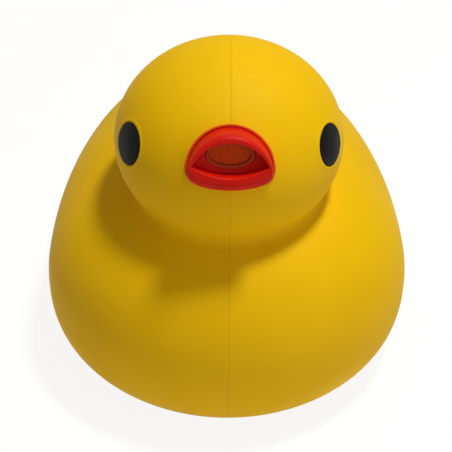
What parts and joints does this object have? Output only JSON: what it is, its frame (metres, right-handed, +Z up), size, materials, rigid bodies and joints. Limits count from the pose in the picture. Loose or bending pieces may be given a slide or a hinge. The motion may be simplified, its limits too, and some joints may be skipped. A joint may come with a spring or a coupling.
{
  "type": "floating chlorine dispenser",
  "caption": "Duck-shaped float with a tablet chamber in its base, closed by a screw cap with a turning flow dial, and vented through the open bill.",
  "frame": {"origin": "on the ground under the middle of the duck, on the axis of the tablet chamber", "axes": "+Z up, -Y towards the bill, +X towards the duck's own left"},
  "size_m": [0.2, 0.262, 0.1927],
  "materials": {
    "yellow_shell": "matte",
    "yellow_base": "matte",
    "red_bill": "satin",
    "brown_bush": "matte",
    "porous_disc": "porous",
    "clear_tube": "soft",
    "clip_steel": "bright",
    "black_eye": "gloss",
    "white_chamber": "satin",
    "black_gasket": "matte",
    "screw_steel": "satin",
    "white_cap": "satin",
    "red_dial": "satin"
  },
  "bodies": {
    "float": {"float_shell_left": "yellow_shell", "float_shell_right": "yellow_shell", "base_pan": "yellow_base", "bill": "red_bill", "throat_bush": "brown_bush", "vent_disc": "porous_disc", "vent_tube": "clear_tube", "tube_clips": "clip_steel", "eye_left": "black_eye", "eye_right": "black_eye", "tablet_chamber": "white_chamber", "chamber_gasket": "black_gasket", "flange_screws": "screw_steel"},
    "cap_seal": {"cap_gasket": "black_gasket"},
    "cap": {"base_cap": "white_cap", "pivot_screw": "screw_steel", "pivot_washer": "screw_steel", "pivot_nut": "screw_steel"},
    "dial": {"flow_dial": "red_dial"}
  },
  "joints": [
    {"name": "cap_travel", "type": "slide", "parent": "float", "child": "cap_seal", "axis": [0, 0, -1], "range_m": [0, 0.021]},
    {"name": "cap_turn", "type": "hinge", "parent": "cap_seal", "child": "cap", "pos_m": [0, 0, 0.01], "axis": [0, 0, -1], "range_deg": [0, 630]},
    {"name": "dial_turn", "type": "hinge", "parent": "cap", "child": "dial", "pos_m": [0, 0, 0.005], "axis": [0, 0, 1], "range_deg": [0, 30]}
  ],
  "couplings": [
    {"joint": "cap_travel", "follows": "cap_turn", "m_per_rad": 0.0019099}
  ]
}
